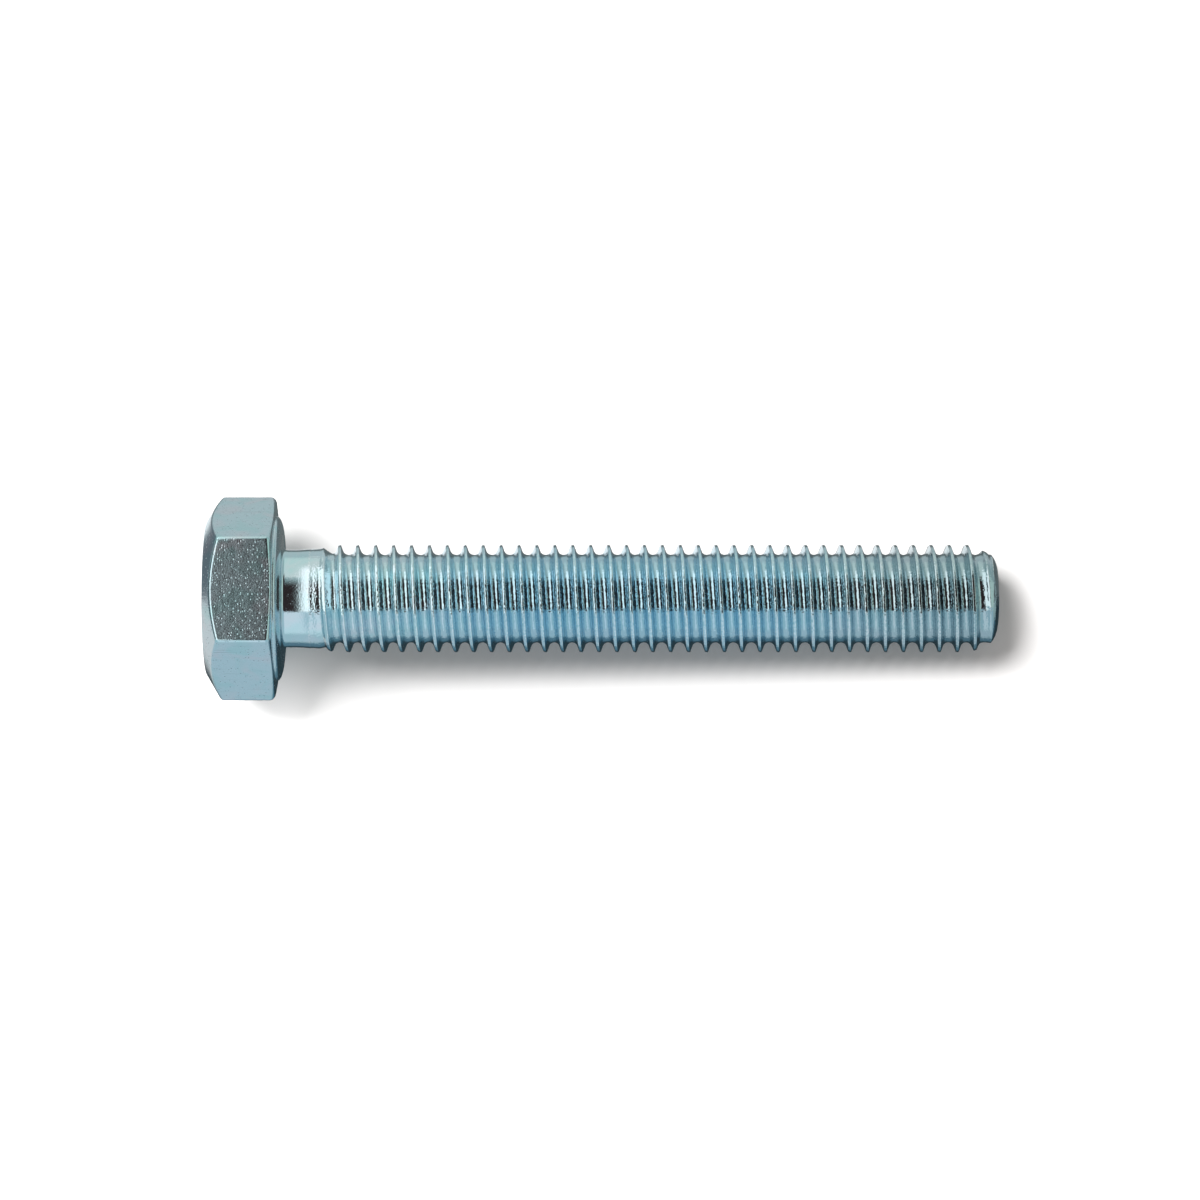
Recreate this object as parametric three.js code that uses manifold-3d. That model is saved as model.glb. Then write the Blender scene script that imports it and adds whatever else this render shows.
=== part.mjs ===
// Hex head screw M6 x 40, threaded up to a short neck, bright zinc plated. Sizes in millimetres.
// It is one forged and rolled piece: head, washer face, neck, thread and tip are a single solid.
// The axis is X. The bearing face under the head is the plane x = 0, the head lies on the -X side
// and the tip is at x = shankLength. One flat of the hexagon faces +Z.
import * as THREE from "three";
import { mergeVertices } from "three/addons/utils/BufferGeometryUtils.js";
import Module from "manifold-3d";

const { lerp, smoothstep, degToRad } = THREE.MathUtils;

// ---- Driving dimensions ----

// Shank and thread
const threadDiameter = 6; // over the crests
const pitch = 1;
const shankLength = 40; // bearing face to the end of the tip
const blankDrop = 0.275; // from the crests in to the plain neck, the bar before it is rolled
const neckLength = 1.55; // bearing face to the first trace of the thread
const runOutLength = 1.3; // over which the groove reaches its full depth
const crestPhase = 0.125; // where the crest crosses the +Y side, as a share of the pitch

// Tip
const tipTaperLength = 1.45; // over which the crests fall away
const tipTaperDrop = 0.55; // from the crests in to the end of the taper
const tipEdgeLength = 0.45; // of the rounded edge, along the axis
const tipEdgeDrop = 1.1; // of the rounded edge, towards the axis

// Head
const acrossFlats = 10;
const headHeight = 4.25; // bearing face to the top of the head
const hexCornerRadius = 0.3;
const underEdgeLength = 0.2; // of the bevel on the hexagon's lower corners, along the axis
const underEdgeReach = 0.35; // from the flats out to the foot of that bevel
const washerFaceInset = 0.42; // from the flats in to the rim of the washer face
const washerFaceHeight = 0.38;
const washerEdgeDrop = 0.75; // of the washer face's rounded edge, towards the axis
const chamferInset = 0.75; // from the flats in to the flat top
const chamferAngle = 30; // degrees between the chamfer and the top
const filletRadius = 0.22; // between the neck and the bearing face
const filletDip = 0.02; // by which the fillet's thin end lies under the neck's skin

// Facets
const shankSteps = 24; // round the thread, the neck, the fillet and the tip
const headSteps = 48; // round the chamfer and the washer face
const cornerSteps = 3; // round each corner of the hexagon
const arcSteps = 4; // along the fillet and the rounded edges of the washer face and the tip

// ISO basic thread form, as shares of the pitch
const crestFlat = 1 / 8;
const rootFlat = 1 / 4;
const threadDepth = 0.6134;

const crestRadius = threadDiameter / 2;
const rootRadius = crestRadius - threadDepth * pitch;
const blankRadius = crestRadius - blankDrop;
const tipShoulderRadius = crestRadius - tipTaperDrop;
const hexCornerReach = acrossFlats / Math.sqrt(3); // axis to a sharp corner
const insideHead = -headHeight / 2; // where the washer face and the fillet start
const margin = 1; // by which rough solids run past the faces that trim them

const wasm = await Module();
wasm.setup();

// ---- From three.js geometry to a solid, and back ----

function toSolid(geometry) {
  const bare = geometry.clone();
  bare.deleteAttribute("normal");
  bare.deleteAttribute("uv");
  const merged = mergeVertices(bare, 1e-4);
  return new wasm.Manifold(
    new wasm.Mesh({
      numProp: 3,
      vertProperties: merged.attributes.position.array,
      triVerts: new Uint32Array(merged.index.array),
    }),
  );
}

function toGeometry(solid) {
  const mesh = solid.getMesh();
  const geometry = new THREE.BufferGeometry();
  geometry.setAttribute("position", new THREE.BufferAttribute(mesh.vertProperties, 3));
  geometry.setIndex(new THREE.BufferAttribute(mesh.triVerts, 1));
  geometry.computeVertexNormals();
  return geometry;
}

// A profile of [x, radius] points, running towards +X, turned round the X axis.
function turned(profile, steps) {
  const points = profile.map(([x, radius]) => new THREE.Vector2(radius, x));
  return toSolid(new THREE.LatheGeometry(points, steps).rotateZ(-Math.PI / 2));
}

// Points on a quarter ellipse that leaves (x0, radius0) along the axis and meets (x1, radius1)
// square to it, or the other way round where hollow is true.
function quarterArc(x0, radius0, x1, radius1, hollow) {
  return Array.from({ length: arcSteps + 1 }, (_, i) => {
    const turn = ((i / arcSteps) * Math.PI) / 2;
    const along = hollow ? 1 - Math.cos(turn) : Math.sin(turn);
    const across = hollow ? Math.sin(turn) : 1 - Math.cos(turn);
    return [lerp(x0, x1, along), lerp(radius0, radius1, across)];
  });
}

// ---- The threaded rod ----

// One turn of the thread form: each corner's place along the pitch and its radius.
const threadForm = [
  { along: -crestFlat / 2, radius: crestRadius },
  { along: crestFlat / 2, radius: crestRadius },
  { along: 0.5 - rootFlat / 2, radius: rootRadius },
  { along: 0.5 + rootFlat / 2, radius: rootRadius },
];

// A right-hand rod that starts inside the head and runs past the tip. Its skin is a net of columns,
// one for each step of the turn. Each column climbs along the corners of the thread form, and the
// last column meets the first one a whole pitch further on.
function threadedRod() {
  const corners = threadForm.length;
  const firstTurn = -Math.ceil(margin / pitch) - 1;
  const turns = Math.ceil((shankLength + margin) / pitch) + 1 - firstTurn;
  const rows = turns * corners;
  const positions = [];
  for (let column = 0; column < shankSteps; column++) {
    const turn = column / shankSteps;
    const angle = turn * 2 * Math.PI;
    for (let row = 0; row < rows; row++) {
      const { along, radius } = threadForm[row % corners];
      const whole = firstTurn + Math.floor(row / corners);
      const x = pitch * (whole + turn + crestPhase + along);
      const bite = smoothstep(x, neckLength, neckLength + runOutLength);
      const r = lerp(blankRadius, radius, bite);
      positions.push(x, r * Math.cos(angle), r * Math.sin(angle));
    }
  }
  const vertex = (column, row) =>
    column < shankSteps ? column * rows + row : row + corners;
  const triangles = [];
  for (let column = 0; column < shankSteps; column++) {
    const lastRow = column < shankSteps - 1 ? rows - 1 : rows - 1 - corners;
    for (let row = 0; row < lastRow; row++) {
      const a = vertex(column, row);
      const b = vertex(column, row + 1);
      const c = vertex(column + 1, row + 1);
      const d = vertex(column + 1, row);
      triangles.push(a, c, b, a, d, c);
    }
  }
  // Each open end is a ring of rows and a step of one pitch, closed by a fan from the axis.
  const ring = Array.from({ length: shankSteps }, (_, column) => column);
  const step = Array.from({ length: corners }, (_, i) => i + 1);
  const startEdge = [
    ...ring.map((column) => vertex(column, 0)),
    ...step.map((i) => vertex(0, corners + 1 - i)),
  ];
  const endEdge = [
    ...ring.map((column) => vertex(column, rows - 1)),
    ...step.map((i) => vertex(shankSteps - 1, rows - 1 - i)),
  ];
  const startHub = positions.length / 3;
  positions.push(pitch * firstTurn, 0, 0, pitch * (firstTurn + turns), 0, 0);
  const endHub = startHub + 1;
  startEdge.forEach((v, i) => {
    triangles.push(startHub, startEdge[(i + 1) % startEdge.length], v);
  });
  endEdge.forEach((v, i) => {
    triangles.push(endHub, v, endEdge[(i + 1) % endEdge.length]);
  });
  const geometry = new THREE.BufferGeometry();
  geometry.setAttribute("position", new THREE.Float32BufferAttribute(positions, 3));
  geometry.setIndex(triangles);
  return toSolid(geometry);
}

// What is left of the rod: from inside the head to the tapered, rounded tip.
function shankEnvelope() {
  const outside = crestRadius + margin;
  const shoulderX = shankLength - tipEdgeLength;
  const taperX = shankLength - tipTaperLength;
  const slope = tipTaperDrop / (shoulderX - taperX);
  const taperStartX = taperX - (outside - crestRadius) / slope;
  return turned(
    [
      [-margin, 0],
      [-margin, outside],
      [taperStartX, outside],
      ...quarterArc(
        shoulderX,
        tipShoulderRadius,
        shankLength,
        tipShoulderRadius - tipEdgeDrop,
        false,
      ),
      [shankLength, 0],
    ],
    shankSteps,
  );
}

// ---- The head ----

function hexOutline() {
  const outline = new THREE.Shape();
  const roundCentre = hexCornerReach - hexCornerRadius / Math.cos(Math.PI / 6);
  for (let corner = 0; corner < 6; corner++) {
    const angle = Math.PI / 6 + (corner * Math.PI) / 3;
    outline.absarc(
      roundCentre * Math.cos(angle),
      roundCentre * Math.sin(angle),
      hexCornerRadius,
      angle - Math.PI / 6,
      angle + Math.PI / 6,
    );
  }
  outline.closePath();
  return outline;
}

// The hexagonal block, from the top of the head to the washer face.
function hexBlock() {
  const block = new THREE.ExtrudeGeometry(hexOutline(), {
    depth: headHeight - washerFaceHeight,
    curveSegments: cornerSteps,
    bevelEnabled: false,
  });
  return toSolid(block.rotateY(Math.PI / 2).translate(-headHeight, 0, 0));
}

// The cone that takes the hexagon's corners off at the top, and the slight bevel under them.
function headEnvelope() {
  const topRadius = acrossFlats / 2 - chamferInset;
  const outside = hexCornerReach + margin;
  const chamferDepth = (outside - topRadius) * Math.tan(degToRad(chamferAngle));
  const footRadius = acrossFlats / 2 + underEdgeReach;
  const bevelStartX = -washerFaceHeight - underEdgeLength;
  return turned(
    [
      [-headHeight, 0],
      [-headHeight, topRadius],
      [-headHeight + chamferDepth, outside],
      [bevelStartX, outside],
      [bevelStartX, hexCornerReach],
      [-washerFaceHeight, footRadius],
      [margin, footRadius],
      [margin, 0],
    ],
    headSteps,
  );
}

function washerFace() {
  const rim = acrossFlats / 2 - washerFaceInset;
  const edge = quarterArc(-washerFaceHeight, rim, 0, rim - washerEdgeDrop, false);
  return turned([[insideHead, 0], [insideHead, rim], ...edge, [0, 0]], headSteps);
}

// The hollow round that leads the bearing face into the neck. It starts inside the head and its
// thin end dips just under the neck's skin.
function neckFillet() {
  const foot = blankRadius + filletRadius;
  const arc = quarterArc(0, foot, filletRadius, blankRadius - filletDip, true);
  return turned([[insideHead, 0], [insideHead, foot], ...arc, [filletRadius, 0]], shankSteps);
}

const head = hexBlock().intersect(headEnvelope()).add(washerFace()).add(neckFillet());
const shank = threadedRod().intersect(shankEnvelope());

const bolt = new THREE.Mesh(
  toGeometry(head.add(shank)),
  new THREE.MeshStandardMaterial({ color: 0xa9bcc4, roughness: 0.28, metalness: 1 }),
);
bolt.name = "hex_bolt";

const part = new THREE.Group();
part.add(bolt);

export default part;
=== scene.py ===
"""Hex bolt M6 x 40, bright zinc plated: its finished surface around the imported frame."""

import logging
import math
from collections.abc import Callable, Iterable
from dataclasses import dataclass
from enum import Enum
from functools import cache
from itertools import pairwise

import bpy
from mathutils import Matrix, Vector


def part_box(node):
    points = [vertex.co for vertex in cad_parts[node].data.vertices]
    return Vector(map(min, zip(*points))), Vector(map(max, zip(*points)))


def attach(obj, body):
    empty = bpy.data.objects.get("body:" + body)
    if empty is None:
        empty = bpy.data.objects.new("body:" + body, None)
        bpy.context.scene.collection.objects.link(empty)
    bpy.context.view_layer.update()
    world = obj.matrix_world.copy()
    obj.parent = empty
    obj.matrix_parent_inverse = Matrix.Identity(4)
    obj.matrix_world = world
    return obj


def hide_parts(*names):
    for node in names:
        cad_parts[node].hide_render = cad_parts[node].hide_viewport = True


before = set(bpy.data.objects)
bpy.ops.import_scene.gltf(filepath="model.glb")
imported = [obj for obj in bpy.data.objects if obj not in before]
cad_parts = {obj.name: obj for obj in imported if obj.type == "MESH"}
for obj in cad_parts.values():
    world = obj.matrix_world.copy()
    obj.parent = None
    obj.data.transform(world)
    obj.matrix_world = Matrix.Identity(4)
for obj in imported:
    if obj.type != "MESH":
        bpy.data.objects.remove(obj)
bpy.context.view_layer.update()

MM = 0.001
MICRON = 1e-6
NODE = "hex_bolt"
BODY = "root"

log = logging.getLogger("bolt")

Point = tuple[float, float]
Colour = tuple[float, float, float]
Labels = tuple[str, ...]


# ---------------------------------------------------------------------------
# Hand tools: each one is a short run of Blender's own modelling operators
# ---------------------------------------------------------------------------


class Join(Enum):
    """How a boolean modifier brings two solids together."""

    ADD = "UNION"
    TRIM = "INTERSECT"


class Bench:
    """Modelling steps on one mesh at a time, in millimetres, with the bolt's axis upright."""

    MERGE = 1e-4

    @staticmethod
    def take(piece: bpy.types.Object) -> None:
        """Deselects everything, then selects one piece and makes it active.

        Args:
            piece: The piece to work on.
        """
        bpy.ops.object.select_all(action="DESELECT")
        piece.select_set(True)
        bpy.context.view_layer.objects.active = piece

    @staticmethod
    def outline(name: str, points: Iterable[Point]) -> bpy.types.Object:
        """Draws a line of edges by extruding one vertex from point to point.

        Args:
            name: What the new piece is called.
            points: Height and radius of each corner, in order.

        Returns:
            The new piece, drawn in the plane that holds the axis and +Y.
        """
        corners = [Vector((0.0, radius, height)) for height, radius in points]
        bpy.ops.object.select_all(action="DESELECT")
        bpy.ops.mesh.primitive_plane_add(size=1.0)
        piece = bpy.context.active_object
        piece.name = name
        bpy.ops.object.mode_set(mode="EDIT")
        bpy.ops.mesh.select_mode(type="VERT")
        bpy.ops.mesh.select_all(action="SELECT")
        bpy.ops.mesh.merge(type="CENTER")
        bpy.ops.transform.translate(value=corners[0])
        for here, there in pairwise(corners):
            bpy.ops.mesh.extrude_vertices_move(TRANSFORM_OT_translate={"value": there - here})
        bpy.ops.object.mode_set(mode="OBJECT")
        return piece

    @classmethod
    def turned(cls, name: str, points: Iterable[Point], steps: int) -> bpy.types.Object:
        """Spins an outline that starts and ends on the axis into a closed solid.

        Args:
            name: What the new piece is called.
            points: Height and radius of each corner, from the bottom up.
            steps: Facets in the full turn.

        Returns:
            The turned solid.
        """
        piece = cls.outline(name, points)
        cls.take(piece)
        bpy.ops.object.mode_set(mode="EDIT")
        bpy.ops.mesh.select_all(action="SELECT")
        bpy.ops.mesh.spin(steps=steps, angle=math.tau, center=(0, 0, 0), axis=(0, 0, 1))
        bpy.ops.object.mode_set(mode="OBJECT")
        cls.close_up(piece)
        return piece

    @classmethod
    def close_up(cls, piece: bpy.types.Object) -> None:
        """Merges doubled vertices and turns every face outwards.

        Args:
            piece: The piece to clean.
        """
        cls.take(piece)
        bpy.ops.object.mode_set(mode="EDIT")
        bpy.ops.mesh.select_all(action="SELECT")
        bpy.ops.mesh.remove_doubles(threshold=cls.MERGE)
        bpy.ops.mesh.normals_make_consistent(inside=False)
        bpy.ops.object.mode_set(mode="OBJECT")

    @classmethod
    def cap(cls, piece: bpy.types.Object, wanted: Callable[[Vector], bool]) -> None:
        """Closes one open end with a fan of triangles.

        Args:
            piece: The open piece.
            wanted: Says whether a vertex belongs to that end.
        """
        cls.take(piece)
        bpy.ops.object.mode_set(mode="EDIT")
        bpy.ops.mesh.select_mode(type="VERT")
        bpy.ops.mesh.select_all(action="DESELECT")
        bpy.ops.mesh.select_non_manifold(use_wire=False, use_multi_face=False, use_verts=False)
        bpy.ops.object.mode_set(mode="OBJECT")
        for vertex in piece.data.vertices:
            vertex.select = vertex.select and wanted(vertex.co)
        bpy.ops.object.mode_set(mode="EDIT")
        bpy.ops.mesh.edge_face_add()
        bpy.ops.mesh.poke()
        bpy.ops.object.mode_set(mode="OBJECT")

    @classmethod
    def finish(cls, piece: bpy.types.Object, modifier: bpy.types.Modifier) -> None:
        """Applies a modifier to its piece."""
        cls.take(piece)
        bpy.ops.object.modifier_apply(modifier=modifier.name)

    @classmethod
    def join(cls, piece: bpy.types.Object, tool: bpy.types.Object, how: Join) -> None:
        """Adds a tool to a piece or trims the piece with it, and throws the tool away.

        Args:
            piece: The solid that is kept.
            tool: The other solid, used up.
            how: What to do with the two.
        """
        modifier = piece.modifiers.new(how.name.lower(), "BOOLEAN")
        modifier.operation = how.value
        modifier.solver = "MANIFOLD"
        modifier.object = tool
        cls.finish(piece, modifier)
        bpy.data.objects.remove(tool)


def quarter_arc(start: Point, end: Point, steps: int, hollow: bool = False) -> list[Point]:
    """Points on a quarter ellipse between two corners of an outline.

    Args:
        start: Height and radius where the arc leaves along the axis, or square to it if hollow.
        end: Height and radius where it ends the other way.
        steps: Straight pieces that the arc is made of.
        hollow: True for a fillet, false for a rounded edge.

    Returns:
        The arc's points, both ends among them.
    """
    points = []
    for i in range(steps + 1):
        turn = i / steps * math.pi / 2
        along = 1 - math.cos(turn) if hollow else math.sin(turn)
        across = math.sin(turn) if hollow else 1 - math.cos(turn)
        points.append(
            (start[0] + (end[0] - start[0]) * along, start[1] + (end[1] - start[1]) * across)
        )
    return points


# ---------------------------------------------------------------------------
# The bolt
# ---------------------------------------------------------------------------


@dataclass(frozen=True)
class ThreadForm:
    """One pitch of the rolled thread, in millimetres: a rounded crest and a wide rounded root."""

    crest_radius: float = 3.0
    pitch: float = 1.0
    crest_flat: float = 0.09
    crest_lean: float = 0.016
    crest_round: float = 0.05
    lean_depth: float = 0.2
    flank_angle: float = math.radians(20)
    depth: float = 0.55
    crest_steps: int = 4
    root_steps: int = 6

    def half(self) -> list[Point]:
        """Distance from the crest's middle and radius, from the crest down to the root's middle.

        Returns:
            The corners of half a pitch.
        """
        lean = math.pi / 2 - self.flank_angle
        top, floor = self.crest_radius, self.crest_radius - self.depth
        points = [(self.crest_flat / 2, top)]
        for i in range(1, self.crest_steps + 1):
            turn = lean * i / self.crest_steps
            points.append(
                (
                    self.crest_flat / 2 + self.crest_round * math.sin(turn),
                    top - self.crest_round * (1 - math.cos(turn)),
                )
            )
        root_round = self._root_round(points[-1])
        for i in range(self.root_steps, -1, -1):
            turn = lean * i / self.root_steps
            points.append(
                (
                    self.pitch / 2 - root_round * math.sin(turn),
                    floor + root_round * (1 - math.cos(turn)),
                )
            )
        return points

    def _root_round(self, shoulder: Point) -> float:
        """Radius of the root that meets both flanks smoothly at the wanted depth.

        Args:
            shoulder: Where the crest's rounding ends and the flank begins.

        Returns:
            The radius.
        """
        across = self.pitch / 2 - shoulder[0]
        down = shoulder[1] - (self.crest_radius - self.depth)
        angle = self.flank_angle
        lean = math.pi / 2 - angle
        return (across * math.cos(angle) - down * math.sin(angle)) / (
            math.sin(lean) * math.cos(angle) - (1 - math.cos(lean)) * math.sin(angle)
        )

    def whole(self, start: float) -> list[Point]:
        """A full pitch from one root's middle to the next.

        Args:
            start: Height of the first root's middle.

        Returns:
            Height and radius of each corner.
        """
        half = self.half()
        crest = start + self.pitch / 2
        rising = []
        for along, radius in reversed(half):
            lean = self.crest_lean * max(1 - (self.crest_radius - radius) / self.lean_depth, 0.0)
            rising.append((crest - along, radius - lean))
        falling = [(crest + along, radius) for along, radius in half]
        return rising + falling


@dataclass
class Shank:
    """The neck, the right-hand thread and the rounded tip, in millimetres from the bearing face."""

    length: float
    neck_length: float
    form: ThreadForm = ThreadForm()
    blank_drop: float = 0.275
    neck_sink: float = 0.03
    neck_rise: float = 0.04
    neck_rise_length: float = 0.14
    blank_rise: float = 0.09
    blank_rise_end: float = 2.5
    run_out_start: float = 1.95
    run_out_length: float = 1.1
    crest_phase: float = 0.125
    taper_length: float = 1.8
    taper_end: float = 0.2
    shoulder_drop: float = 0.32
    shoulder_slope: float = 0.6
    tip_edge_length: float = 0.9
    tip_edge_drop: float = 1.3
    tip_dome: float = 0.12
    turn_steps: int = 96
    arc_steps: int = 8
    spare: float = 1.5

    @property
    def blank_radius(self) -> float:
        """Radius of the plain neck."""
        return self.form.crest_radius - self.blank_drop

    def build(self) -> bpy.types.Object:
        """Winds the thread, fades it out at the neck and trims the tip.

        Returns:
            The shank as one closed solid that starts inside the head.
        """
        rod = self._wind()
        self._run_out(rod)
        self._taper(rod)
        Bench.join(rod, self._envelope(), Join.TRIM)
        return rod

    def _wind(self) -> bpy.types.Object:
        """Winds one pitch of the thread form up the axis and closes both ends.

        Returns:
            A rod that is too long at both ends.
        """
        pitch = self.form.pitch
        first = (self.crest_phase - 0.5 - math.ceil(self.spare / pitch) - 1) * pitch
        rod = Bench.outline("shank", self.form.whole(first))
        screw = rod.modifiers.new("wind", "SCREW")
        screw.axis = "Z"
        screw.angle = math.tau
        screw.screw_offset = pitch
        screw.iterations = math.ceil((self.length + self.spare - first) / pitch)
        screw.steps = screw.render_steps = self.turn_steps
        Bench.finish(rod, screw)
        Bench.close_up(rod)
        middle = self.length / 2
        Bench.cap(rod, lambda place: place.z < middle)
        Bench.cap(rod, lambda place: place.z > middle)
        Bench.close_up(rod)
        return rod

    def _run_out(self, rod: bpy.types.Object) -> None:
        """Draws the first turns in to the blank's skin, and sinks the rod below the neck's.

        Args:
            rod: The wound rod.
        """
        run_out_end = self.run_out_start + self.run_out_length
        rise_start = self.neck_length - self.neck_rise_length
        for vertex in rod.data.vertices:
            height, radius = vertex.co.z, vertex.co.xy.length
            bite = self._step(height, self.run_out_start, run_out_end)
            if bite < 1 and radius > self.blank_radius / 2:
                above = self._step(height, rise_start, self.neck_length)
                rise = self._step(height, self.neck_length, self.blank_rise_end)
                skin = self.blank_radius - self.neck_sink
                skin += (self.neck_sink + self.neck_rise) * above
                skin += (self.blank_rise - self.neck_rise) * rise
                vertex.co.xy *= (skin + (radius - skin) * bite) / radius

    def _taper(self, rod: bpy.types.Object) -> None:
        """Presses the last crests down towards the root, and keeps them round.

        Args:
            rod: The wound rod.
        """
        root = self.form.crest_radius - self.form.depth
        start, end = self.length - self.taper_length, self.length - self.taper_end
        for vertex in rod.data.vertices:
            height, radius = vertex.co.z, vertex.co.xy.length
            loss = self._step(height, start, end)
            if loss > 0 and radius > root:
                vertex.co.xy *= (radius - (radius - root) * loss) / radius

    @staticmethod
    def _step(value: float, low: float, high: float) -> float:
        """A smooth step from 0 at low to 1 at high."""
        t = min(max((value - low) / (high - low), 0.0), 1.0)
        return t * t * (3 - 2 * t)

    def _envelope(self) -> bpy.types.Object:
        """The turned outside of the shank, plain and then rounded over at the tip.

        Returns:
            The solid that trims the rod.
        """
        shoulder_z = self.length - self.tip_edge_length
        shoulder = self.form.crest_radius - self.shoulder_drop
        outside = self.form.crest_radius + self.spare
        edge = quarter_arc(
            (shoulder_z, shoulder),
            (self.length - self.tip_dome, shoulder - self.tip_edge_drop),
            self.arc_steps,
        )
        start = shoulder_z - (outside - shoulder) / self.shoulder_slope
        outline = [(-self.spare, 0.0), (-self.spare, outside), (start, outside)]
        return Bench.turned("tip", [*outline, *edge, (self.length, 0.0)], self.turn_steps)


@dataclass
class Head:
    """The hexagon with its chamfer, washer face and the fillet into the neck, in millimetres.

    Its chamfer runs out at a different height all round the hexagon, so its skin is laid as one
    section per column, each with the same count of points.
    """

    height: float
    across_flats: float
    neck_radius: float
    neck_length: float
    flat_bulge: float = 0.03
    corner_radius: float = 0.24
    chamfer_inset: float = 0.75
    chamfer_angle: float = math.radians(30)
    top_round: float = 0.25
    chamfer_round: float = 0.26
    under_edge_flat: float = 0.14
    under_edge_length: float = 0.36
    under_edge_drop: float = 0.44
    washer_inset: float = 0.42
    washer_height: float = 0.38
    washer_edge_drop: float = 1.0
    washer_root: float = 0.06
    fillet_radius: float = 0.22
    waist_place: float = 0.55
    waist_rise: float = 0.05
    neck_step: float = 0.012
    neck_step_drop: float = 0.036
    neck_steps: int = 10
    flat_columns: int = 12
    corner_columns: int = 8
    round_steps: int = 5
    arc_steps: int = 8

    @property
    def flat_radius(self) -> float:
        """Axis to a flat."""
        return self.across_flats / 2

    @property
    def corner_reach(self) -> float:
        """Axis to a sharp corner of the hexagon."""
        return self.flat_radius / math.cos(math.pi / 6)

    def build(self) -> bpy.types.Object:
        """Lays the skin column by column and closes it on the axis.

        Returns:
            The head as one closed solid.
        """
        columns = self._columns()
        sections = [self._section(reach) for _, reach in columns]
        rows = len(sections[0]) - 2
        places = [
            (radius * math.cos(angle), radius * math.sin(angle), height)
            for (angle, _), section in zip(columns, sections)
            for height, radius in section[1:-1]
        ]
        top, bottom = len(places), len(places) + 1
        places += [(0.0, 0.0, sections[0][0][0]), (0.0, 0.0, sections[0][-1][0])]
        faces = []
        for i in range(len(columns)):
            here, there = i * rows, (i + 1) % len(columns) * rows
            faces.append((top, there, here))
            faces += [(here + j, there + j, there + j + 1, here + j + 1) for j in range(rows - 1)]
            faces.append((bottom, here + rows - 1, there + rows - 1))
        mesh = bpy.data.meshes.new("head")
        mesh.from_pydata(places, [], faces)
        head = bpy.data.objects.new("head", mesh)
        bpy.context.scene.collection.objects.link(head)
        Bench.close_up(head)
        return head

    def _columns(self) -> list[tuple[float, float]]:
        """Angle and reach of each column: even along the flats, close together at the corners.

        Returns:
            The columns in order round the axis, starting on the first flat.
        """
        ends = self.flat_radius - self.flat_bulge
        centre = (ends - self.corner_radius) / math.cos(math.pi / 6)
        half = centre * math.sin(math.pi / 6)
        outline = []
        for side in range(6):
            face = side * math.pi / 3
            for i in range(self.flat_columns + 1):
                share = 2 * i / self.flat_columns - 1
                bulge = self.flat_bulge * (1 - share * share)
                angle = face + math.atan2(half * share, ends)
                outline.append((angle, math.hypot(half * share, ends) + bulge))
            for i in range(1, self.corner_columns):
                turn = face + math.pi / 3 * i / self.corner_columns
                corner = face + math.pi / 6
                x = centre * math.cos(corner) + self.corner_radius * math.cos(turn)
                y = centre * math.sin(corner) + self.corner_radius * math.sin(turn)
                outline.append((math.atan2(y, x) % math.tau, math.hypot(x, y)))
        return outline

    def _section(self, reach: float) -> list[Point]:
        """The head's outline in one plane through the axis.

        Args:
            reach: Axis to the hexagon's side in that plane.

        Returns:
            Height and radius of each point, from the middle of the top to the middle below.
        """
        flat_top = self.flat_radius - self.chamfer_inset
        slope = math.tan(self.chamfer_angle)
        brow = (-self.height + (reach - flat_top) * slope, reach)
        corner = (reach - self.flat_radius) / (self.corner_reach - self.flat_radius)
        length = self._between(self.under_edge_flat, self.under_edge_length, corner)
        drop = self._between(self.under_edge_flat, self.under_edge_drop, corner)
        under = -self.washer_height
        rim = self.flat_radius - self.washer_inset
        rim_top = (under + self.washer_root, rim)
        return [
            (-self.height, 0.0),
            (-self.height, flat_top / 2),
            *self._rounded((-self.height, 0.0), (-self.height, flat_top), brow, self.top_round),
            *self._rounded((-self.height, flat_top), brow, (under, reach), self.chamfer_round),
            *quarter_arc((under - length, reach), (under, reach - drop), self.arc_steps),
            *quarter_arc((under, rim + self.washer_root), rim_top, self.round_steps, hollow=True),
            *quarter_arc(rim_top, (0.0, rim - self.washer_edge_drop), self.arc_steps)[1:],
            *quarter_arc(
                (0.0, self.neck_radius + self.fillet_radius),
                (self.fillet_radius, self._neck_skin(self.fillet_radius)),
                self.arc_steps,
                hollow=True,
            ),
            *self._neck(),
            (self.neck_length + self.neck_step, 0.0),
        ]

    def _neck_skin(self, height: float) -> float:
        """The neck's radius, least at its waist and growing towards the thread."""
        from_waist = (height - self.waist_place) / (self.neck_length - self.waist_place)
        return self.neck_radius + self.waist_rise * from_waist * from_waist

    def _neck(self) -> list[Point]:
        """The neck's outline from the fillet to the small step where the rolling dies began.

        Returns:
            Height and radius of each point.
        """
        points = []
        for i in range(1, self.neck_steps + 1):
            height = self._between(self.fillet_radius, self.neck_length, i / self.neck_steps)
            points.append((height, self._neck_skin(height)))
        foot = points[-1][1] - self.neck_step_drop
        return [*points, (self.neck_length + self.neck_step, foot)]

    @staticmethod
    def _between(low: float, high: float, share: float) -> float:
        """The value that lies a share of the way from low to high."""
        return low + (high - low) * share

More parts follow.
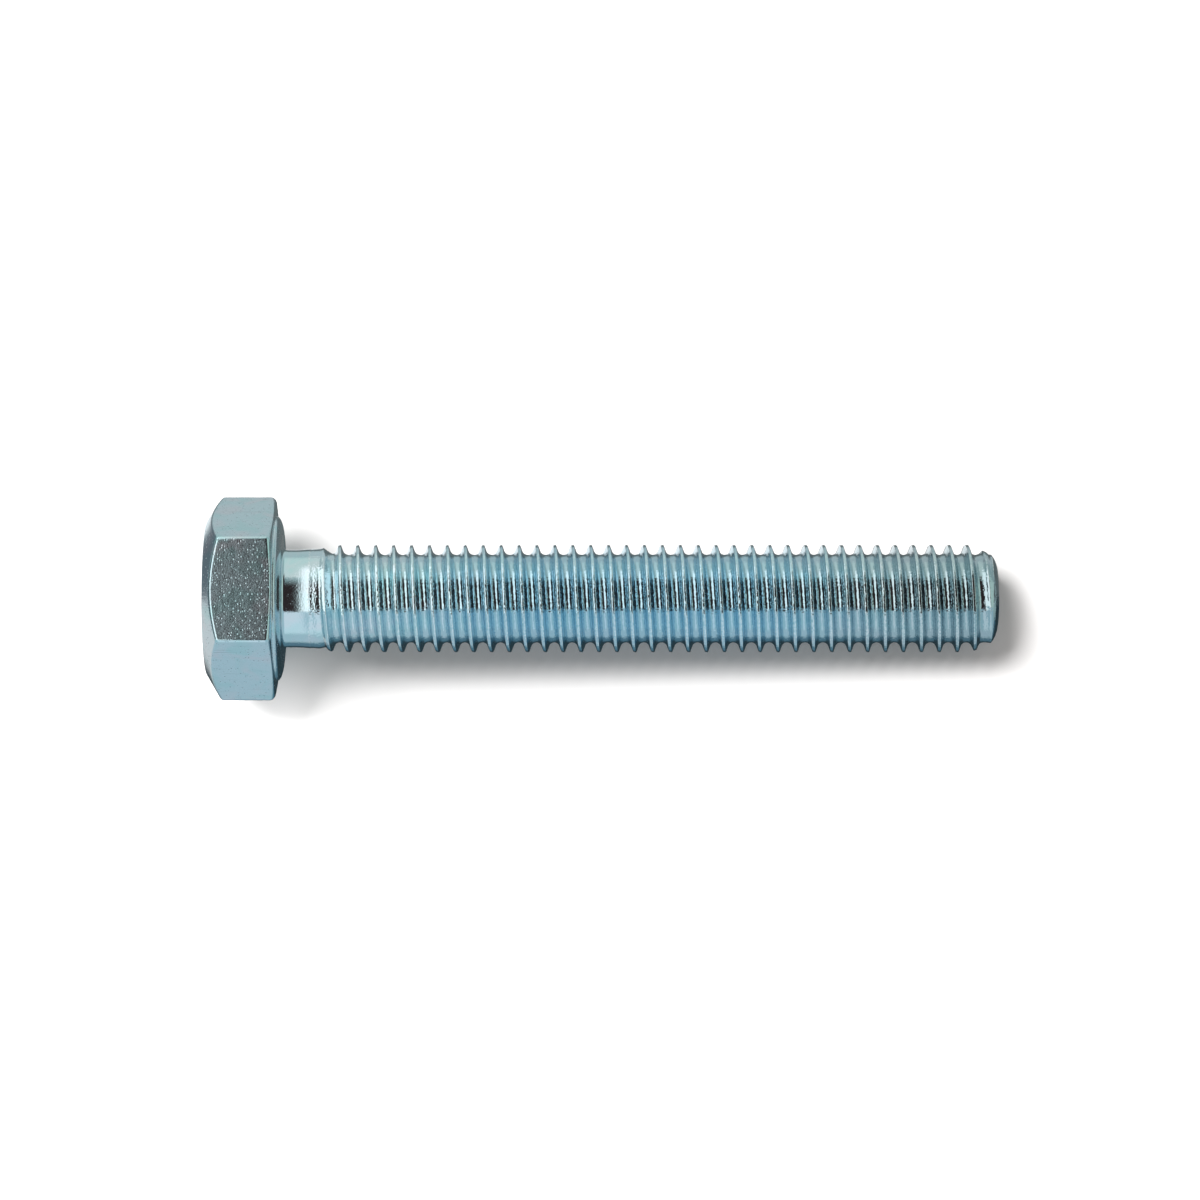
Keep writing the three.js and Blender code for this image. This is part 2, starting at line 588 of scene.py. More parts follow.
    def _rounded(self, before: Point, corner: Point, after: Point, radius: float) -> list[Point]:
        """Rounds one corner of an outline.

        Args:
            before: The corner before it.
            corner: The corner to round.
            after: The corner after it.
            radius: Radius of the rounding.

        Returns:
            Points along the arc, from one side to the other.
        """
        middle = Vector(corner)
        back, ahead = (Vector(before) - middle).normalized(), (Vector(after) - middle).normalized()
        half = back.angle(ahead) / 2
        centre = middle + (back + ahead).normalized() * radius / math.sin(half)
        start = middle + back * radius / math.tan(half) - centre
        sweep = math.pi - 2 * half
        if back.x * ahead.y - back.y * ahead.x > 0:
            sweep = -sweep
        points = []
        for i in range(self.round_steps + 1):
            turn = sweep * i / self.round_steps
            x = start.x * math.cos(turn) - start.y * math.sin(turn)
            y = start.x * math.sin(turn) + start.y * math.cos(turn)
            points.append((centre.x + x, centre.y + y))
        return points


@dataclass
class HexBolt:
    """The whole bolt, which is one piece of steel. The neck's two sizes are in millimetres.

    The head is made with the neck, which ends a lap short of the neck's length. The shank starts
    inside it and rises to its own skin a lap past that length.
    """

    low: Vector
    high: Vector
    neck_length: float = 1.55
    neck_lap: float = 0.01
    smooth_angle: float = math.radians(32)
    flat_weight: int = 90

    def build(self) -> bpy.types.Object:
        """Makes the head and the shank, joins them and lays the bolt along X.

        Returns:
            The finished mesh, in metres, with its place in its vertices.
        """
        shank = Shank(length=self.high.x / MM, neck_length=self.neck_length + self.neck_lap)
        rod = shank.build()
        log.info("shank: %d faces", len(rod.data.polygons))
        head = Head(
            height=-self.low.x / MM,
            across_flats=(self.high.z - self.low.z) / MM,
            neck_radius=shank.blank_radius,
            neck_length=self.neck_length - self.neck_lap,
        )
        bolt = head.build()
        log.info("head: %d faces", len(bolt.data.polygons))
        Bench.join(bolt, rod, Join.ADD)
        self._lay_down(bolt)
        self._smooth(bolt)
        bolt.name = "bolt"
        bolt.data.name = "bolt"
        return bolt

    def _lay_down(self, bolt: bpy.types.Object) -> None:
        """Turns the upright bolt onto the X axis and brings it from millimetres to metres.

        Args:
            bolt: The joined bolt.
        """
        Bench.take(bolt)
        bolt.rotation_euler = (0.0, math.pi / 2, 0.0)
        bolt.scale = (MM, MM, MM)
        bpy.ops.object.transform_apply(location=True, rotation=True, scale=True)

    def _smooth(self, bolt: bpy.types.Object) -> None:
        """Shades round surfaces smooth and keeps the flats flat.

        Args:
            bolt: The joined bolt.
        """
        Bench.take(bolt)
        bpy.ops.object.shade_smooth_by_angle(angle=self.smooth_angle)
        weighted = bolt.modifiers.new("flats", "WEIGHTED_NORMAL")
        weighted.keep_sharp = True
        weighted.weight = self.flat_weight
        Bench.finish(bolt, weighted)

    def dress(self, bolt: bpy.types.Object) -> None:
        """Gives head, neck and thread their finishes and hands the piece to the frame.

        Args:
            bolt: The finished mesh.
        """
        bolt.data.materials.clear()
        for finish in (ZincPlate.forged(), ZincPlate.drawn(), ZincPlate.rolled()):
            bolt.data.materials.append(finish.material())
        neck_end = self.neck_length * MM
        for face in bolt.data.polygons:
            face.material_index = int(face.center.x > 0) + int(face.center.x > neck_end)
        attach(bolt, BODY)
        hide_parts(NODE)


# ---------------------------------------------------------------------------
# Finishes
# ---------------------------------------------------------------------------


class Nodes:
    """A node tree that is filled node by node."""

    def __init__(self, tree: bpy.types.NodeTree) -> None:
        """Takes an empty or partly filled tree."""
        self.tree = tree

    @classmethod
    def blank(cls, owner: bpy.types.Material | bpy.types.World) -> "Nodes":
        """Empties the tree of a material or a world and returns it.

        Args:
            owner: The material or world.

        Returns:
            Its empty tree.
        """
        owner.use_nodes = True
        owner.node_tree.nodes.clear()
        return cls(owner.node_tree)

    def add(self, kind: str, **settings: object) -> bpy.types.Node:
        """Adds a node, with its settings, and with inputs given as name or index to value.

        Args:
            kind: Blender's node type.
            settings: Node properties, and inputs={name: value or output socket}.

        Returns:
            The new node.
        """
        inputs = settings.pop("inputs", {})
        node = self.tree.nodes.new(kind)
        for key, value in settings.items():
            setattr(node, key, value)
        for key, value in inputs.items():
            if isinstance(value, bpy.types.NodeSocket):
                self.tree.links.new(value, node.inputs[key])
            else:
                node.inputs[key].default_value = value
        return node

    def maths(self, operation: str, *values: object, clamp: bool = False) -> bpy.types.NodeSocket:
        """Adds a Math node and returns its output.

        Args:
            operation: What it works out.
            values: Numbers or output sockets.
            clamp: True to keep the result from 0 to 1.

        Returns:
            The node's output.
        """
        inputs = dict(enumerate(values))
        node = self.add("ShaderNodeMath", operation=operation, use_clamp=clamp, inputs=inputs)
        return node.outputs[0]

    def vector_maths(self, operation: str, first: object, second: object = None) -> bpy.types.Node:
        """Adds a Vector Math node with one or two inputs and returns it."""
        inputs = {0: first} if second is None else {0: first, 1: second}
        return self.add("ShaderNodeVectorMath", operation=operation, inputs=inputs)

    def ramp(self, value: object, low: float, high: float) -> bpy.types.NodeSocket:
        """Adds a smooth step from 0 at low to 1 at high and returns its output.

        Args:
            value: Number or output socket to look up.
            low: Where the step starts.
            high: Where it ends.

        Returns:
            The node's output.
        """
        node = self.add(
            "ShaderNodeMapRange",
            interpolation_type="SMOOTHSTEP",
            inputs={"Value": value, "From Min": low, "From Max": high},
        )
        return node.outputs["Result"]

    def mix(self, share: object, first: object, second: object) -> bpy.types.NodeSocket:
        """Mixes two colours and returns the result."""
        node = self.add("ShaderNodeMix", data_type="RGBA", inputs={0: share, 6: first, 7: second})
        return node.outputs[2]


class Socket(Enum):
    """What a group's socket carries."""

    VALUE = "NodeSocketFloat"
    VECTOR = "NodeSocketVector"
    COLOUR = "NodeSocketColor"


class Group(Nodes):
    """A shader node group with named sockets, for one surface effect."""

    def __init__(
        self, name: str, inputs: dict[Socket, Labels], outputs: dict[Socket, Labels]
    ) -> None:
        """Makes the group with its sockets.

        Args:
            name: The effect's name.
            inputs: Names of the inputs of each kind.
            outputs: Names of the outputs of each kind.
        """
        super().__init__(bpy.data.node_groups.new(name, "ShaderNodeTree"))
        for in_out, sockets in (("INPUT", inputs), ("OUTPUT", outputs)):
            for kind, labels in sockets.items():
                for label in labels:
                    self.tree.interface.new_socket(label, in_out=in_out, socket_type=kind.value)
        self.given = self.add("NodeGroupInput").outputs
        self._result = self.add("NodeGroupOutput")

    def put_out(self, **results: bpy.types.NodeSocket) -> bpy.types.NodeTree:
        """Links each result to the output of its name and returns the group.

        Args:
            results: Output name to the socket that feeds it.

        Returns:
            The finished group.
        """
        for label, socket in results.items():
            self.tree.links.new(socket, self._result.inputs[label])
        return self.tree

    def per(self, label: str) -> bpy.types.NodeSocket:
        """One divided by an input, to make a texture's scale from a size."""
        return self.maths("DIVIDE", 1.0, self.given[label])

    def streaks(self, along: object, across: object, detail: float) -> bpy.types.NodeSocket:
        """Adds noise that is stretched along or round the bolt's axis.

        Args:
            along: Scale along the axis.
            across: Scale in the other two directions.
            detail: The noise's detail.

        Returns:
            The noise, from 0 to 1.
        """
        scale = self.add("ShaderNodeCombineXYZ", inputs={"X": along, "Y": across, "Z": across})
        place = self.vector_maths("MULTIPLY", self.given["Place"], scale.outputs[0])
        noise = self.add(
            "ShaderNodeTexNoise",
            inputs={"Vector": place.outputs[0], "Scale": 1.0, "Detail": detail, "Roughness": 0.6},
        )
        return noise.outputs["Fac"]


class Effects:
    """Surface effects that the finishes share. Each is built on first use and then kept."""

    @staticmethod
    @cache
    def plating_tint() -> bpy.types.NodeTree:
        """Slow drifts of colour in the passivation film.

        Returns:
            The effect's group.
        """
        n = Group(
            "plating_tint",
            {
                Socket.VECTOR: ("Place",),
                Socket.COLOUR: ("Base", "Cool", "Warm"),
                Socket.VALUE: ("Patch", "Amount"),
            },
            {Socket.COLOUR: ("Color",)},
        )
        slow = n.add(
            "ShaderNodeTexNoise",
            inputs={
                "Vector": n.given["Place"],
                "Scale": n.per("Patch"),
                "Detail": 2.0,
                "Roughness": 0.5,
                "Distortion": 0.6,
            },
        )
        parts = n.add("ShaderNodeSeparateColor", inputs={"Color": slow.outputs["Color"]})
        cool = n.ramp(parts.outputs[0], low=0.42, high=0.66)
        warm = n.ramp(parts.outputs[1], low=0.45, high=0.7)
        tinted = n.mix(
            n.maths("MULTIPLY", cool, n.given["Amount"]), n.given["Base"], n.given["Cool"]
        )
        tinted = n.mix(n.maths("MULTIPLY", warm, n.given["Amount"]), tinted, n.given["Warm"])
        return n.put_out(Color=tinted)

    @staticmethod
    @cache
    def orange_peel() -> bpy.types.NodeTree:
        """The fine lumps of electroplated zinc, with a scatter of pits.

        Returns:
            The effect's group.
        """
        n = Group(
            "orange_peel",
            {
                Socket.VECTOR: ("Place",),
                Socket.VALUE: ("Grain", "Detail", "Pit Spacing", "Pit Share"),
            },
            {Socket.VALUE: ("Height", "Pit")},
        )
        lumps = n.add(
            "ShaderNodeTexNoise",
            inputs={
                "Vector": n.given["Place"],
                "Scale": n.per("Grain"),
                "Detail": n.given["Detail"],
                "Roughness": 0.55,
            },
        )
        cells = n.add(
            "ShaderNodeTexVoronoi",
            inputs={"Vector": n.given["Place"], "Scale": n.per("Pit Spacing"), "Randomness": 1.0},
        )
        chance = n.add("ShaderNodeSeparateColor", inputs={"Color": cells.outputs["Color"]})
        rare = n.maths("LESS_THAN", chance.outputs[0], n.given["Pit Share"])
        dot = n.maths("SUBTRACT", 1.0, n.ramp(cells.outputs["Distance"], low=0.0, high=0.42))
        depth = n.maths("MULTIPLY", rare, chance.outputs[1])
        return n.put_out(Height=lumps.outputs["Fac"], Pit=n.maths("MULTIPLY", dot, depth))

    @staticmethod
    @cache
    def rolling_lines() -> bpy.types.NodeTree:
        """Fine lines that run round the axis, as rolling dies leave them.

        Returns:
            The effect's group.
        """
        n = Group(
            "rolling_lines",
            {Socket.VECTOR: ("Place",), Socket.VALUE: ("Spacing", "Length")},
            {Socket.VALUE: ("Height",)},
        )
        return n.put_out(Height=n.streaks(n.per("Spacing"), n.per("Length"), detail=1.0))

    @staticmethod
    @cache
    def die_marks() -> bpy.types.NodeTree:
        """Sparse scratches that run along the bolt, as the forging dies leave them.

        Returns:
            The effect's group.
        """
        n = Group(
            "die_marks",
            {Socket.VECTOR: ("Place",), Socket.VALUE: ("Spacing", "Length")},
            {Socket.VALUE: ("Mark",)},
        )
        lines = n.streaks(n.per("Length"), n.per("Spacing"), detail=2.0)
        return n.put_out(Mark=n.ramp(lines, low=0.64, high=0.72))

    @staticmethod
    @cache
    def rubbed_edges_and_highlight() -> bpy.types.NodeTree:
        """Brightens the sharpest edges: where handling has rubbed the film off, and a painted
        highlight along them.

        Returns:
            The effect's group.
        """
        n = Group(
            "rubbed_edges_and_highlight",
            {Socket.VECTOR: ("Place",), Socket.VALUE: ("Reach", "Grain")},
            {Socket.VALUE: ("Mask",)},
        )
        rounded = n.add("ShaderNodeBevel", samples=4, inputs={"Radius": n.given["Reach"]})
        true = n.add("ShaderNodeNewGeometry")
        match = n.vector_maths("DOT_PRODUCT", rounded.outputs[0], true.outputs["Normal"])
        patchy = n.add(
            "ShaderNodeTexNoise",
            inputs={"Vector": n.given["Place"], "Scale": n.per("Grain"), "Detail": 2.0},
        )
        sharp = n.ramp(n.maths("SUBTRACT", 1.0, match.outputs["Value"]), low=0.004, high=0.09)
        broken_up = n.ramp(patchy.outputs["Fac"], low=0.38, high=0.55)
        return n.put_out(Mask=n.maths("MULTIPLY", sharp, broken_up))


@dataclass(frozen=True)
class ZincPlate:
    """Bright zinc with a clear blue passivation over one kind of worked steel surface."""

    name: str
    base: Colour = (0.56, 0.72, 0.78)
    cool: Colour = (0.49, 0.71, 0.75)
    warm: Colour = (0.62, 0.70, 0.76)
    dark_tone: Colour = (0.36, 0.46, 0.50)
    # Near white on the sharpest edges: rubbed-off film, and a painted highlight along them
    worn_and_highlight: Colour = (0.95, 0.96, 0.96)
    patch: float = 1.6 * MM
    tint_amount: float = 0.7
    roughness: float = 0.2
    pit_roughness: float = 0.45
    grain: float = 0.1 * MM
    grain_depth: float = 4.0 * MICRON
    grain_detail: float = 3.0
    pit_spacing: float = 0.13 * MM
    pit_share: float = 0.4
    pit_depth: float = 6.0 * MICRON
    wave: float = 0.45 * MM
    wave_depth: float = 5.0 * MICRON
    line_spacing: float = 0.07 * MM
    line_length: float = 0.9 * MM
    line_depth: float = 1.0 * MICRON
    mark_spacing: float = 0.12 * MM
    mark_length: float = 5.0 * MM
    mark_depth: float = 1.5 * MICRON
    mark_stain: float = 0.55
    # The colour turns towards the dark tone from 25 mm to 38 mm along the bolt, darker towards the
    # tip
    tip_darken_from: tuple[float, float] = (25.0 * MM, 38.0 * MM)
    tip_darken_amount: float = 0.65
    deep: Colour = (0.37, 0.59, 0.71)
    deep_from: tuple[float, float] = (4.0 * MM, 14.0 * MM)
    deep_to: tuple[float, float] = (25.0 * MM, 36.0 * MM)
    deep_amount: float = 0.65
    edge_reach: float = 0.12 * MM

    @classmethod
    def forged(cls) -> "ZincPlate":
        """The head's finish: dull and speckled, with die marks.

        Returns:
            The finish.
        """
        return cls(
            "zinc_forged",
            tint_amount=1.0,
            roughness=0.2,
            line_depth=0.3 * MICRON,
            pit_depth=20.0 * MICRON,
        )

    @classmethod
    def rolled(cls) -> "ZincPlate":
        """The thread's finish: bright and ragged, with lines round the axis.

        Returns:
            The finish.
        """
        return cls(
            "zinc_rolled",
            roughness=0.08,
            grain=0.14 * MM,
            grain_depth=16.0 * MICRON,
            grain_detail=1.0,
            line_spacing=0.12 * MM,
            line_depth=7.0 * MICRON,
            pit_depth=3.0 * MICRON,
            wave_depth=0.0,
            mark_depth=0.0,
            mark_stain=0.0,
        )

    @classmethod
    def drawn(cls) -> "ZincPlate":
        """The neck's finish: the smoothest.

        Returns:
            The finish.
        """
        return cls(
            "zinc_drawn",
            roughness=0.08,
            grain_depth=3.5 * MICRON,
            line_depth=0.6 * MICRON,
            pit_depth=1.0 * MICRON,
            wave_depth=0.0,
            mark_depth=0.0,
            mark_stain=0.0,
        )

    def material(self) -> bpy.types.Material:
        """Builds the finish.

        Returns:
            A metal material that reads Object coordinates.
        """
        material = bpy.data.materials.new(self.name)
        n = Nodes.blank(material)
        place = n.add("ShaderNodeTexCoord").outputs["Object"]
        tint = self._effect(
            n,
            Effects.plating_tint(),
            {
                "Place": place,
                "Base": (*self.base, 1.0),
                "Cool": (*self.cool, 1.0),
                "Warm": (*self.warm, 1.0),
                "Patch": self.patch,
                "Amount": self.tint_amount,
            },
        )
        peel = self._effect(
            n,
            Effects.orange_peel(),
            {
                "Place": place,
                "Grain": self.grain,
                "Detail": self.grain_detail,
                "Pit Spacing": self.pit_spacing,
                "Pit Share": self.pit_share,
            },
        )
        waves = n.add(
            "ShaderNodeTexNoise", inputs={"Vector": place, "Scale": 1 / self.wave, "Detail": 1.0}
        )
        lines = self._effect(
            n,
            Effects.rolling_lines(),
            {"Place": place, "Spacing": self.line_spacing, "Length": self.line_length},
        )
        marks = self._effect(
            n,
            Effects.die_marks(),
            {"Place": place, "Spacing": self.mark_spacing, "Length": self.mark_length},
        )
        # Mask of the sharpest edges, for rubbed-off film and a painted highlight along them
        edges = self._effect(
            n,
            Effects.rubbed_edges_and_highlight(),
            {"Place": place, "Reach": self.edge_reach, "Grain": self.grain},
        )
        along = n.add("ShaderNodeSeparateXYZ", inputs={0: place}).outputs[0]
        # Darker towards the tip, and darker along the die marks
        tip_darkened = n.maths("MULTIPLY", n.ramp(along, *self.tip_darken_from), self.tip_darken_amount)
        darker_share = n.maths("MAXIMUM", n.maths("MULTIPLY", marks["Mark"], self.mark_stain), tip_darkened)
        film = n.maths("SUBTRACT", n.ramp(along, *self.deep_from), n.ramp(along, *self.deep_to))
        deepened = n.maths("MULTIPLY", film, self.deep_amount)
        colour = n.mix(deepened, tint["Color"], (*self.deep, 1.0))
        colour = n.mix(darker_share, colour, (*self.dark_tone, 1.0))
        # Sharp edges turn near white: rubbed-off film, and a painted highlight along them
        colour = n.mix(edges["Mask"], colour, (*self.worn_and_highlight, 1.0))
        height = n.maths("MULTIPLY", peel["Height"], self.grain_depth / MICRON)
        for part, depth in (
            (peel["Pit"], -self.pit_depth),
            (waves.outputs["Fac"], self.wave_depth),
            (lines["Height"], self.line_depth),
            (marks["Mark"], -self.mark_depth),
        ):
            height = n.maths("ADD", height, n.maths("MULTIPLY", part, depth / MICRON))
        bump = n.add(
            "ShaderNodeBump", inputs={"Strength": 1.0, "Distance": MICRON, "Height": height}
        )
        pitted = n.maths("MULTIPLY", peel["Pit"], self.pit_roughness - self.roughness)
        roughness = n.maths("ADD", self.roughness, pitted, clamp=True)
        metal = n.add(
            "ShaderNodeBsdfPrincipled",
            inputs={
                "Base Color": colour,
                "Metallic": 1.0,
                "Roughness": roughness,
                "Normal": bump.outputs["Normal"],
            },
        )
        n.add("ShaderNodeOutputMaterial", inputs={"Surface": metal.outputs[0]})
        return material

    @staticmethod
    def _effect(
        n: Nodes, effect: bpy.types.NodeTree, inputs: dict[str, object]
    ) -> bpy.types.bpy_prop_collection:
        """Adds a shared effect and returns its outputs."""
        return n.add("ShaderNodeGroup", node_tree=effect, inputs=inputs).outputs


# ---------------------------------------------------------------------------
# The studio
# ---------------------------------------------------------------------------


@dataclass(frozen=True)
class Lamp:
    """One soft box: where it hangs from the bolt's middle, its size in metres and its strength."""

    name: str
    place: tuple[float, float, float]
    size: tuple[float, float]
    watts: float
    colour: Colour = (1.0, 1.0, 1.0)
    target: tuple[float, float, float] = (0.0, 0.0, 0.0)
    spread: float = math.pi

    def hang(self, aim: Vector) -> None:
        """Adds the lamp, turned towards its target. Reflections show the tent in its place.

        Args:
            aim: The bolt's middle, from which place and target are measured.
        """
        data = bpy.data.lights.new(self.name, "AREA")
        data.shape = "RECTANGLE"
        data.size, data.size_y = self.size
        data.energy = self.watts
        data.color = self.colour
        data.spread = self.spread
        lamp = bpy.data.objects.new(self.name, data)
        bpy.context.scene.collection.objects.link(lamp)
        lamp.location = aim + Vector(self.place)
        back = Vector(self.place) - Vector(self.target)
        lamp.rotation_euler = back.to_track_quat("Z", "Y").to_euler()
        lamp.visible_glossy = False


@dataclass(frozen=True)
class Patch:
    """A part of the tent, bounded by angles that are seen from the bolt.

    The angles are in degrees. Rise is turned from the camera towards the picture's top, and side
    towards its right. Each edge has a soft width.
    """

    colour: Colour
    rise: tuple[float, float]
    side: tuple[float, float]
    rise_soft: tuple[float, float] = (3.0, 3.0)
    side_soft: tuple[float, float] = (3.0, 3.0)

    def mask(self, n: Nodes, rise: object, side: object) -> bpy.types.NodeSocket:
        """Builds the patch's mask.

        Args:
            n: The tent material's nodes.
            rise: Output that holds the rise angle.
            side: Output that holds the side angle.

        Returns:
            1 inside the patch, 0 outside.
        """
        parts = []
        for angle, (low, high), (soft_low, soft_high) in (
            (rise, self.rise, self.rise_soft),
            (side, self.side, self.side_soft),
        ):
            parts.append(n.ramp(angle, low - soft_low / 2, low + soft_low / 2))
            past = n.ramp(angle, high - soft_high / 2, high + soft_high / 2)
            parts.append(n.maths("SUBTRACT", 1.0, past))
        mask = parts[0]
        for part in parts[1:]:
            mask = n.maths("MULTIPLY", mask, part)
        return mask


@dataclass
class Tent:
    """The light tent over the bolt, which only reflections show.

    The camera looks in through a dark opening, and the lit side glows. Below the horizon it stands
    in for the floor: a painted reflection of it, with painted shadow beneath the bolt.
    """

    middle: Vector
    back: Vector
    up: Vector
    radius: float = 0.6
    cloth: Colour = (0.43, 0.53, 0.52)
    patches: tuple[Patch, ...] = (
        # The far wall: lit high up; lower down a painted reflection of the floor, dimmer, with
        # painted shadow beneath the bolt
        Patch((0.80, 0.86, 0.81), rise=(50.0, 118.0), side=(-24.0, 16.0), side_soft=(12.0, 12.0)),
        Patch((0.59, 0.64, 0.64), rise=(112.0, 146.0), side=(-60.0, 60.0), rise_soft=(12.0, 8.0)),
        Patch((0.16, 0.18, 0.18), rise=(146.0, 200.0), side=(-30.0, 60.0), rise_soft=(10.0, 1.0)),
        # The near wall: a painted reflection of the floor, with painted shadow beneath the bolt,
        # brighter towards the camera
        Patch((0.12, 0.22, 0.28), rise=(-200.0, -125.0), side=(-30.0, 60.0), rise_soft=(1.0, 18.0)),
        Patch((0.03, 0.05, 0.06), rise=(-200.0, -152.0), side=(-60.0, 60.0), rise_soft=(1.0, 16.0)),
        Patch((0.54, 0.64, 0.70), rise=(-125.0, -92.0), side=(-60.0, 60.0), rise_soft=(14.0, 12.0)),
        Patch((0.48, 0.64, 0.70), rise=(-92.0, -31.0), side=(-60.0, 60.0), rise_soft=(12.0, 2.0)),
        Patch((0.82, 0.89, 0.94), rise=(-92.0, -31.0), side=(-13.0, 11.0), rise_soft=(12.0, 2.0)),
        # Low down beyond the head: the floor's painted reflection, in painted shadow on the far
        # side and pale on the near side, and a small lamp
        Patch((0.16, 0.18, 0.20), rise=(120.0, 200.0), side=(-90.0, -30.0), side_soft=(1.0, 12.0)),
        Patch(
            (0.83, 0.78, 0.77), rise=(-200.0, -120.0), side=(-90.0, -30.0), side_soft=(1.0, 20.0)
        ),
        Patch((1.1, 1.1, 1.1), rise=(164.0, 200.0), side=(-30.0, -3.0), side_soft=(8.0, 4.0)),
        # Beyond the tip: a dark end and a pale green side
        Patch((0.16, 0.16, 0.16), rise=(-31.0, 200.0), side=(68.0, 90.0), side_soft=(12.0, 1.0)),
        Patch((0.67, 0.80, 0.72), rise=(-31.0, 66.0), side=(36.0, 74.0), side_soft=(8.0, 12.0)),
        # Overhead: a dark end, the lamp by the head and the opening that the camera looks through
        Patch((0.08, 0.10, 0.11), rise=(-31.0, 62.0), side=(-90.0, -44.0), rise_soft=(2.0, 20.0)),
        Patch((1.45, 1.45, 1.42), rise=(-31.0, 80.0), side=(-44.0, -11.0), rise_soft=(2.0, 16.0)),
        Patch((0.04, 0.026, 0.026), rise=(-31.0, 58.0), side=(2.0, 35.0), rise_soft=(2.0, 14.0)),
        Patch(
            (0.04, 0.026, 0.026),
            rise=(-31.0, 40.0),
            side=(-11.0, 20.0),
            rise_soft=(2.0, 24.0),
            side_soft=(6.0, 3.0),
        ),
    )

    def raise_up(self) -> None:
        """Adds the tent round the bolt."""
        bpy.ops.object.select_all(action="DESELECT")
        bpy.ops.mesh.primitive_uv_sphere_add(segments=64, ring_count=32, radius=self.radius)
        tent = bpy.context.active_object
        tent.name = "tent"
        tent.location = self.middle
        Bench.take(tent)
        bpy.ops.object.transform_apply(location=True, rotation=True, scale=True)
        tent.data.materials.append(self._material())
        tent.visible_camera = False
        tent.visible_diffuse = False
        tent.visible_shadow = False

    def _material(self) -> bpy.types.Material:
        """The cloth's glow, patch by patch.

        Returns:
            A glowing material for the inside of the tent.
        """
        material = bpy.data.materials.new("tent_cloth")
        n = Nodes.blank(material)
        place = n.add("ShaderNodeTexCoord").outputs["Object"]
        away = n.vector_maths("SUBTRACT", place, self.middle).outputs[0]
        aim = n.vector_maths("NORMALIZE", away).outputs[0]

        def along(axis: Vector) -> bpy.types.NodeSocket:
            """The direction's part along an axis."""
            return n.vector_maths("DOT_PRODUCT", aim, axis).outputs["Value"]

        degrees = math.degrees(1)
        rise = n.maths("MULTIPLY", n.maths("ARCTAN2", along(self.up), along(self.back)), degrees)
        side = n.maths("MULTIPLY", n.maths("ARCSINE", along(Vector((1.0, 0.0, 0.0)))), degrees)
        glow = (*self.cloth, 1.0)
        for patch in self.patches:
            glow = n.mix(patch.mask(n, rise, side), glow, (*patch.colour, 1.0))
        light = n.add("ShaderNodeEmission", inputs={"Color": glow})
        n.add("ShaderNodeOutputMaterial", inputs={"Surface": light.outputs[0]})
        return material


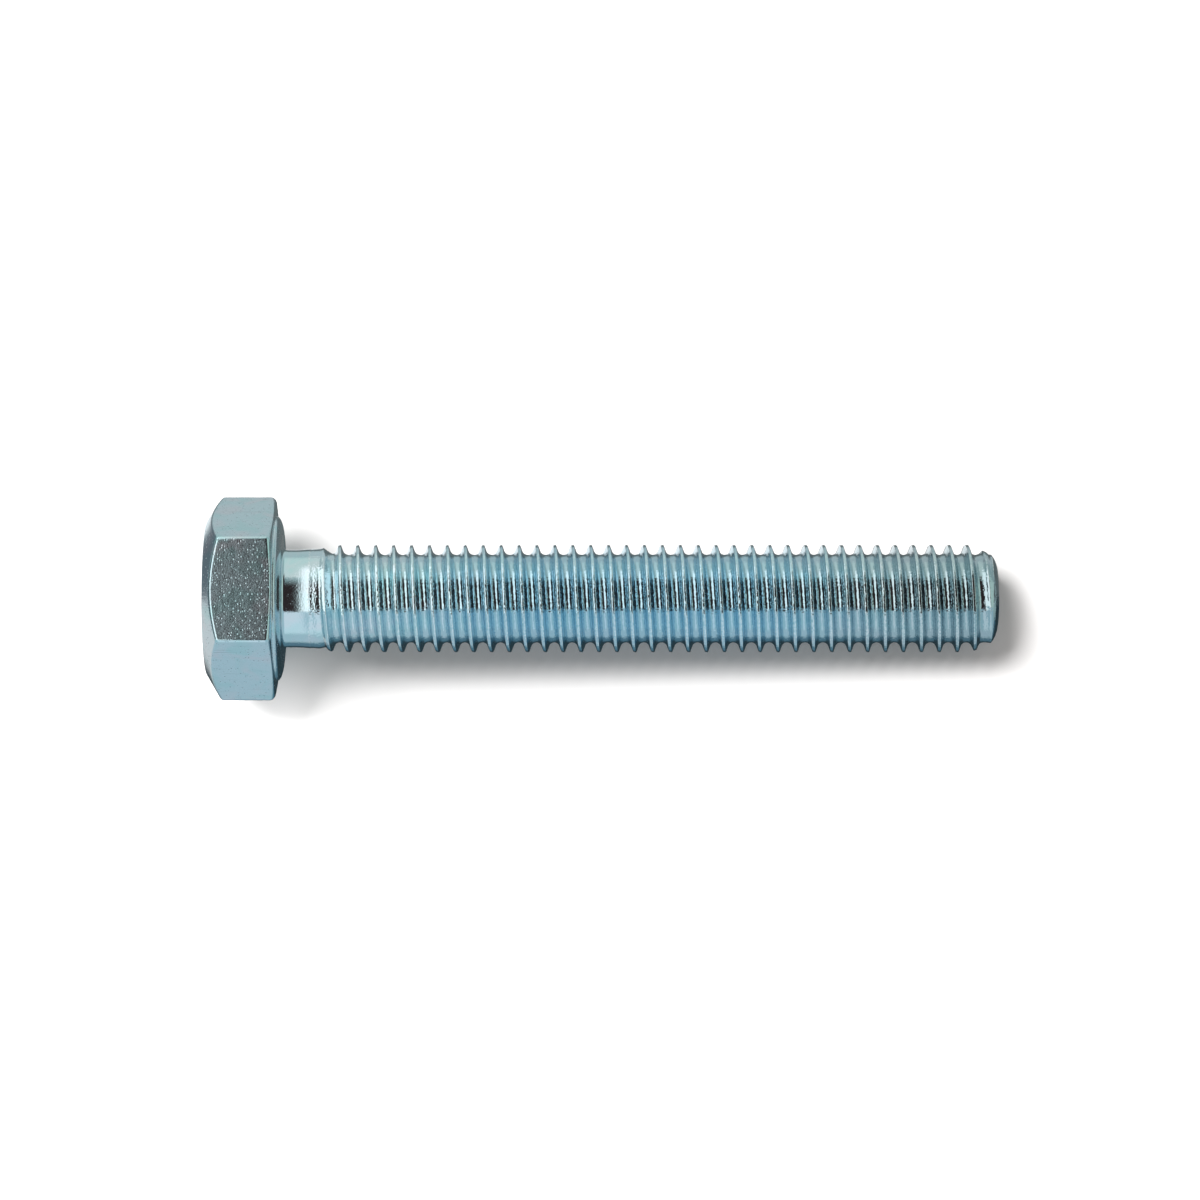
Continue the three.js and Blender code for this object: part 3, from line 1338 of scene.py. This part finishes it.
@dataclass
class Studio:
    """A pale floor, a light tent round the bolt and the camera above it, in metres."""

    low: Vector
    high: Vector
    elevation: float = math.radians(84)
    distance: float = 0.281
    view_width: float = 0.06704
    sensor: float = 36.0
    aim_along: float = -0.185 * MM
    aim_up: float = -0.08 * MM
    floor_size: float = 1.1
    floor_gap: float = 0.01 * MM
    foot_depth: float = 0.02 * MM
    floor_colour: Colour = (0.8, 0.79, 0.785)
    air_strength: float = 0.45
    air_colour: Colour = (1.0, 0.96, 0.94)
    lamps: tuple[Lamp, ...] = (
        Lamp("key", (-0.42, 0.28, 0.9), (0.45, 0.45), 17.0),
        Lamp(
            "fill",
            (-0.012, -0.05, 0.03),
            (0.004, 0.004),
            0.0005,
            target=(-0.0175, -0.0125, -0.005),
            spread=math.radians(14),
        ),
    )

    @property
    def middle(self) -> Vector:
        """What the camera aims at, a little towards the head from the bolt's middle."""
        return (self.low + self.high) / 2 + Vector((self.aim_along, 0.0, 0.0))

    def build(self, bolt: bpy.types.Object) -> None:
        """Sets up floor, air, lamps, tent and camera.

        Args:
            bolt: The finished bolt.
        """
        scene = bpy.context.scene
        scene.view_settings.view_transform = "Standard"
        back = Vector((0.0, -math.cos(self.elevation), math.sin(self.elevation)))
        up = Vector((0.0, math.sin(self.elevation), math.cos(self.elevation)))
        self._floor(bolt)
        self._air()
        for lamp in self.lamps:
            lamp.hang(self.middle)
        Tent(self.middle, back, up).raise_up()
        self._camera(back, up)

    def _camera(self, back: Vector, up: Vector) -> None:
        """Adds the camera, looking down on the bolt from just in front of it.

        Args:
            back: Direction from the bolt to the camera.
            up: The camera's own up.
        """
        data = bpy.data.cameras.new("camera")
        data.sensor_width = self.sensor
        data.lens = self.sensor * self.distance / self.view_width
        data.clip_start = self.distance / 20
        data.clip_end = 10.0
        camera = bpy.data.objects.new("camera", data)
        bpy.context.scene.collection.objects.link(camera)
        camera.location = self.middle + up * self.aim_up + back * self.distance
        camera.rotation_euler = (math.pi / 2 - self.elevation, 0.0, 0.0)
        bpy.context.scene.camera = camera

    def _floor(self, bolt: bpy.types.Object) -> None:
        """Lays the floor so that the head's lower edge and one crest near the tip touch it.

        Args:
            bolt: The finished bolt.
        """
        places = [vertex.co for vertex in bolt.data.vertices]
        foot = min(place.z for place in places) + self.foot_depth
        heel = max((p for p in places if p.z < foot), key=lambda p: p.x)
        middle_x = self.middle.x
        slope = min((p.z - heel.z) / (p.x - heel.x) for p in places if p.x > middle_x)
        bpy.ops.object.select_all(action="DESELECT")
        bpy.ops.mesh.primitive_plane_add(size=self.floor_size)
        floor = bpy.context.active_object
        floor.name = "floor"
        floor.rotation_euler = (0.0, -math.atan(slope), 0.0)
        floor.location = (heel.x, 0.0, heel.z - self.floor_gap)
        bpy.ops.object.transform_apply(location=True, rotation=True, scale=True)
        material = bpy.data.materials.new("paper")
        n = Nodes.blank(material)
        paper = n.add("ShaderNodeBsdfDiffuse", inputs={"Color": (*self.floor_colour, 1.0)})
        n.add("ShaderNodeOutputMaterial", inputs={"Surface": paper.outputs[0]})
        floor.data.materials.append(material)
        # Reflections don't show the floor: the tent paints its reflection instead, with painted
        # shadow beneath the bolt
        floor.visible_glossy = False

    def _air(self) -> None:
        """Fills the room with soft light."""
        world = bpy.data.worlds.new("air")
        bpy.context.scene.world = world
        n = Nodes.blank(world)
        glow = n.add(
            "ShaderNodeBackground",
            inputs={"Color": (*self.air_colour, 1.0), "Strength": self.air_strength},
        )
        n.add("ShaderNodeOutputWorld", inputs={"Surface": glow.outputs[0]})


def main() -> None:
    """Builds the bolt and the studio."""
    logging.basicConfig(level=logging.INFO, format="%(name)s: %(message)s")
    low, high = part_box(NODE)
    maker = HexBolt(low, high)
    bolt = maker.build()
    maker.dress(bolt)
    log.info("bolt: %d faces, %d corners", len(bolt.data.polygons), len(bolt.data.loops))
    studio = Studio(low, high)
    studio.build(bolt)
    log.info("studio: %d lamps", len(studio.lamps))


if __name__ == "__main__":
    main()
